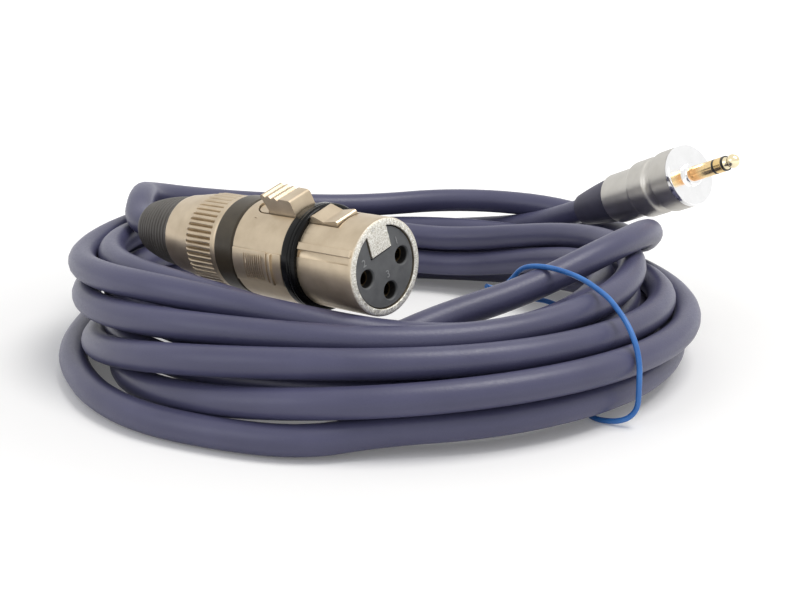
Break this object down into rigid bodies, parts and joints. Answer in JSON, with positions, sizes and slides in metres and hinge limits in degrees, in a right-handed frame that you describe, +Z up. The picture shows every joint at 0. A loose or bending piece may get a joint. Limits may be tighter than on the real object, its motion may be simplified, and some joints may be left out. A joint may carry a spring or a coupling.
{
  "type": "xlr cable coil",
  "caption": "Coiled audio lead with a latching three-pole socket connector at one end and a stereo mini plug at the other, held by a loose wire tie.",
  "frame": {"origin": "middle of the whole outline, on the surface that the coil lies on", "axes": "+Z up, +X to the right as seen from the front, +Y away from the viewer"},
  "size_m": [0.1628, 0.1648, 0.043],
  "materials": {
    "nickel": "satin",
    "spring_steel": "polished",
    "insert_plastic": "matte",
    "gold": "polished",
    "copper_gold": "polished",
    "black_rubber": "satin",
    "black_band": "matte",
    "boot_rubber": "matte",
    "jack_boot_rubber": "matte",
    "core_red": "satin",
    "core_white": "satin",
    "bare_copper": "satin",
    "jacket": "satin",
    "chrome": "polished",
    "tie_blue": "satin"
  },
  "bodies": {
    "root": {"front_shell": "nickel", "rear_body": "nickel", "latch_pin": "nickel", "insert_screw": "spring_steel", "insert": "insert_plastic", "insert_rear": "insert_plastic", "contact_1": "gold", "contact_2": "gold", "contact_3": "gold", "seal_ring": "black_rubber", "rear_band": "black_band", "cable_chuck": "insert_plastic", "core_red": "core_red", "core_white": "core_white", "drain_wire": "bare_copper", "xlr_cable_end": "jacket", "xlr_lead": "jacket", "cable_coil": "jacket", "jack_lead": "jacket", "jack_cable_end": "jacket", "jack_tip": "gold", "jack_ring": "gold", "jack_sleeve": "copper_gold", "jack_bands": "black_band", "jack_collar": "chrome", "jack_liner": "insert_plastic", "jack_core_red": "core_red", "jack_core_white": "core_white", "tie_wire": "tie_blue", "tie_twist": "tie_blue"},
    "latch": {"latch_lever": "nickel", "latch_spring": "spring_steel"},
    "boot_slide": {"boot": "boot_rubber"},
    "nut": {"knurled_nut": "nickel"},
    "jack_boot_slide": {"jack_boot": "jack_boot_rubber"},
    "barrel": {"jack_barrel": "chrome"}
  },
  "joints": [
    {"name": "latch_press", "type": "hinge", "parent": "root", "child": "latch", "pos_m": [-0.0207, -0.03191, 0.0369], "axis": [0.6379, 0.7126, 0.2922], "range_deg": [0, 2.2], "stiffness_Nm_per_rad": 0.2, "springref_deg": -2.86, "deforming": ["latch_spring"]},
    {"name": "nut_travel", "type": "slide", "parent": "root", "child": "boot_slide", "axis": [-0.7373, 0.6747, -0.0358], "range_m": [0, 0.0045]},
    {"name": "nut_turn", "type": "hinge", "parent": "boot_slide", "child": "nut", "pos_m": [-0.031, -0.01903, 0.02799], "axis": [-0.7373, 0.6747, -0.0358], "range_deg": [0, 1620]},
    {"name": "barrel_travel", "type": "slide", "parent": "root", "child": "jack_boot_slide", "axis": [-0.5752, 0.7253, -0.3782], "range_m": [0, 0.004]},
    {"name": "barrel_turn", "type": "hinge", "parent": "jack_boot_slide", "child": "barrel", "pos_m": [0.06577, 0.02654, 0.03033], "axis": [-0.5752, 0.7253, -0.3782], "range_deg": [0, 1440]}
  ],
  "couplings": [
    {"joint": "nut_turn", "follows": "nut_travel", "rad_per_m": 6283.2},
    {"joint": "barrel_turn", "follows": "barrel_travel", "rad_per_m": 6283.2}
  ]
}
